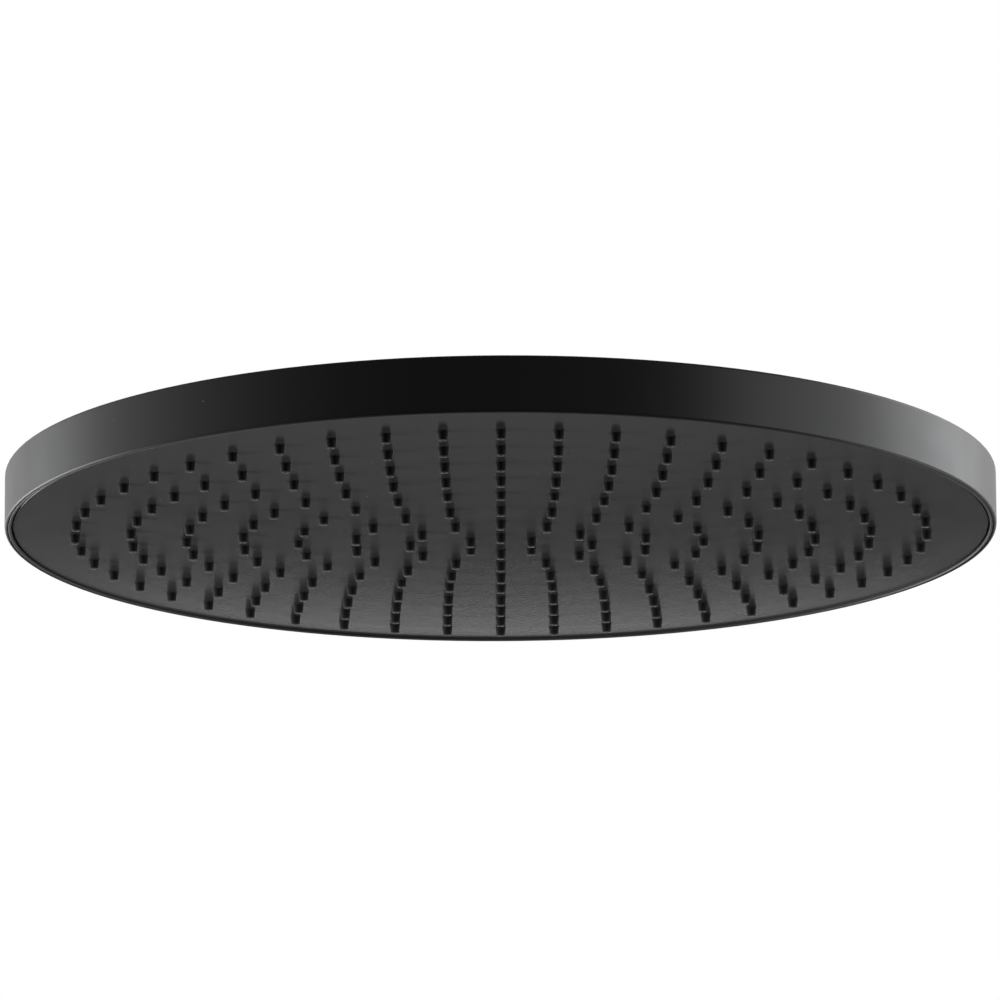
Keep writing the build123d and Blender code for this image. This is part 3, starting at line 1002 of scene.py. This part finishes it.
@dataclass
class Studio:
    """Soft light from the sides and back, a dark camera side and a pale floor far below.

    A span holds the parts of a direction, out of 1, between which the brightness changes.

    Attributes:
        centre: The middle of the object.
        floor_z: Height of the floor.
        floor_r: Radius of the floor.
        floor_fade_r: Radius where the floor begins to fade out.
        floor_sides: How many sides the floor has.
        floor_colour: The floor's own colour.
        floor_glow: The share of pure white that the camera sees in the floor.
        front_level: How bright the camera side is.
        front_span: The change from the front to the back.
        back_level: How bright it is right behind.
        back_span: The change from the middle of the back outwards.
        ground_level: How bright the dark band under the horizon is.
        ground_span: The change at the upper edge of the band.
        foot_level: How bright it is below the band.
        foot_span: The change at the lower edge of the band.
        sky_level: How bright it is overhead.
        sky_span: The change from the horizon to overhead.
        ambient: The share of the surroundings that lights matt surfaces.
        lamps: The soft lamps.
    """

    centre: Vector
    floor_z: float
    floor_r: float = 2.4
    floor_fade_r: float = 0.8
    floor_sides: int = 96
    floor_colour: Colour = (0.6, 0.6, 0.6)
    floor_glow: float = 0.7
    front_level: float = 0.13
    front_span: tuple[float, float] = (-0.85, 0.45)
    back_level: float = 0.74
    back_span: tuple[float, float] = (0.15, 0.5)
    ground_level: float = 0.078
    ground_span: tuple[float, float] = (-0.145, -0.106)
    foot_level: float = 0.32
    foot_span: tuple[float, float] = (-0.34, -0.26)
    sky_level: float = 0.35
    sky_span: tuple[float, float] = (0.3, 0.65)
    ambient: float = 0.2
    lamps: tuple[Softbox, ...] = (
        Softbox(
            "left_low_softbox",
            turn_deg=-128,
            rise_deg=-20,
            width=2.2,
            height=1.2,
            level=4.5,
            colour=FRESH_LIGHT,
        ),
        Softbox(
            "left_rake",
            turn_deg=-90,
            rise_deg=-18,
            width=0.19,
            height=0.16,
            level=36.0,
            distance=0.7,
            mirrored=False,
        ),
        Softbox(
            "right_rake",
            turn_deg=90,
            rise_deg=-18,
            width=0.19,
            height=0.16,
            level=14.0,
            distance=0.7,
            mirrored=False,
        ),
        Softbox(
            "left_softbox",
            turn_deg=-122,
            rise_deg=12,
            width=1.0,
            height=0.8,
            level=0.9,
            colour=FRESH_LIGHT,
        ),
        Softbox(
            "right_softbox",
            turn_deg=116,
            rise_deg=24,
            width=2.1,
            height=1.5,
            level=2.3,
            colour=COOL_LIGHT,
        ),
        Softbox(
            "right_wing",
            turn_deg=68,
            rise_deg=12,
            width=1.7,
            height=1.4,
            level=0.85,
            colour=COOL_LIGHT,
        ),
        Softbox("right_low_softbox", turn_deg=118, rise_deg=-28, width=1.8, height=0.9, level=1.5),
    )

    def risen(self, level: Operand, share: Signal) -> Signal:
        """A level that rises to 1 with a share."""
        return level + (1 - level) * share

    def level(self, sheet: NodeSheet) -> Signal:
        """How bright the studio is in a direction.

        It is darkest at the front, dim right behind and overhead, and has a dark band under the horizon.

        Args:
            sheet: The world's nodes.

        Returns:
            The brightness, from 0 to 1.
        """
        direction = sheet.add("ShaderNodeTexCoord", result="Generated")
        beside, ahead, above = (
            sheet.add("ShaderNodeSeparateXYZ", {}, {"Vector": direction}, axis) for axis in "XYZ"
        )
        aside = beside.larger(0 - beside).larger(0 - ahead)
        front = self.risen(self.front_level, sheet.ramp(ahead, *self.front_span))
        back = self.risen(self.back_level, sheet.ramp(aside, *self.back_span))
        ground = self.risen(self.ground_level, sheet.ramp(above, *self.ground_span))
        foot = (self.foot_level - self.ground_level) * (1 - sheet.ramp(above, *self.foot_span))
        sky = 1 - (1 - self.sky_level) * sheet.ramp(above, *self.sky_span)
        return front * back * (ground + foot) * sky

    def world(self) -> None:
        """Makes the surroundings, white to the camera, which light the object from the sides and back."""
        world = bpy.data.worlds.new("studio")
        world.use_nodes = True
        bpy.context.scene.world = world
        sheet = NodeSheet(world.node_tree, "World Output")
        rays = {ray: sheet.add("ShaderNodeLightPath", result=ray.value) for ray in Ray}
        seen = rays[Ray.CAMERA].larger(rays[Ray.TRANSMISSION])
        light = self.level(sheet) * self.risen(self.ambient, rays[Ray.GLOSSY])
        sockets = {"Color": opaque(WHITE), "Strength": self.risen(seen, light)}
        sheet.close(sheet.add("ShaderNodeBackground", {}, sockets))

    def floor(self) -> None:
        """Makes the pale floor, which keeps the shadow, fades out at its edge and is clear from beneath."""
        sketch = MeshSketch()
        sketch.lathe([(self.floor_r, 0.0), (0.0, 0.0)], Vector(), self.floor_sides)
        floor = sketch.piece("floor", sharp_deg=0.0, whole=False)
        floor.location.z = self.floor_z
        floor.visible_glossy = False
        material = bpy.data.materials.new("pale_floor")
        material.use_nodes = True
        sheet = NodeSheet(material.node_tree, "Material Output")
        distance = sheet.add("ShaderNodeVectorMath", {"operation": "LENGTH"}, {0: sheet.place()}, "Value")
        fade = sheet.ramp(distance, self.floor_fade_r, self.floor_r)
        beneath = sheet.add("ShaderNodeNewGeometry", result="Backfacing")
        camera = sheet.add("ShaderNodeLightPath", result=Ray.CAMERA.value)
        pale = sheet.add("ShaderNodeBsdfDiffuse", {}, {"Color": opaque(self.floor_colour)})
        white = sheet.add("ShaderNodeEmission", {}, {"Color": opaque(WHITE), "Strength": 1.0})
        lit = sheet.add("ShaderNodeMixShader", {}, {0: self.floor_glow * camera, 1: pale, 2: white})
        clear = sheet.add("ShaderNodeBsdfTransparent")
        sheet.close(sheet.add("ShaderNodeMixShader", {}, {0: fade.larger(beneath), 1: lit, 2: clear}))
        dress(floor, material)
        floor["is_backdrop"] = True

    def build(self) -> None:
        """Makes the surroundings, the floor and the lamps."""
        self.world()
        self.floor()
        for lamp in self.lamps:
            lamp.build(self.centre)


@dataclass
class PhotoCamera:
    """The camera at the photograph's place, found from the nozzles.

    Attributes:
        target: The centre of the outermost nozzles' tips.
        below_deg: How steeply the camera looks up.
        turn_deg: How far its view is turned from straight back.
        distance: How far the camera is from the target.
        focal_px: Its focal length, in pixels of the photograph.
        picture_px: The photograph's width and height, in pixels.
        target_px: Where the target lies in the photograph, in pixels.
        roll: How far the camera leans to the side, in radians.
        sensor_mm: The width of its sensor, in millimetres.
    """

    target: Vector
    below_deg: float = 13.31
    turn_deg: float = -0.07
    distance: float = 2.868
    focal_px: float = 9476.0
    picture_px: float = 1000.0
    target_px: tuple[float, float] = (500.5, 541.8)
    roll: float = 0.0047
    sensor_mm: float = 36.0

    def build(self) -> None:
        """Makes the camera and gives it to the scene."""
        below, turn = math.radians(self.below_deg), math.radians(self.turn_deg)
        right = Vector((math.cos(turn), math.sin(turn), 0))
        away = Vector((-math.sin(turn), math.cos(turn), 0))
        ahead = math.cos(below) * away + Vector((0, 0, math.sin(below)))
        up = right.cross(ahead)
        place = self.target - self.distance * ahead
        per_px = self.distance / self.focal_px
        centre = self.picture_px / 2
        across = (centre - self.target_px[0]) * per_px
        rise = (self.target_px[1] - centre) * per_px
        ahead = (self.target + across * right + rise * up - place).normalized()
        level = ahead.cross(Vector((0, 0, 1))).normalized()
        upright = level.cross(ahead)
        tilted_up = math.cos(self.roll) * upright + math.sin(self.roll) * level
        tilted_right = ahead.cross(tilted_up)
        data = bpy.data.cameras.new("photo_camera")
        data.sensor_width = self.sensor_mm
        data.lens = self.focal_px / self.picture_px * self.sensor_mm
        camera = bpy.data.objects.new("photo_camera", data)
        axes = Matrix((tilted_right, tilted_up, -ahead)).transposed()
        camera.matrix_world = Matrix.Translation(place) @ axes.to_4x4()
        bpy.context.scene.collection.objects.link(camera)
        bpy.context.scene.camera = camera


def main() -> None:
    """Builds the pieces, the studio and the camera in order."""
    logging.basicConfig(level=logging.INFO, format="%(message)s")
    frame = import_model()
    cad_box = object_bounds()
    scene = bpy.context.scene
    scene.view_settings.view_transform = "Standard"
    finishes = Finishes()
    CarriedPieces(frame["nodes"], finishes).build()
    UnionNut.from_frame().build(finishes.coated.material())
    face = SprayFace.from_frame()
    face.build(finishes)
    middle = (cad_box[0] + cad_box[1]) / 2
    Studio(middle, cad_box[0].z - FLOOR_DROP).build()
    PhotoCamera(Vector((0, 0, face.tip_z(face.rings)))).build()


if __name__ == "__main__":
    main()
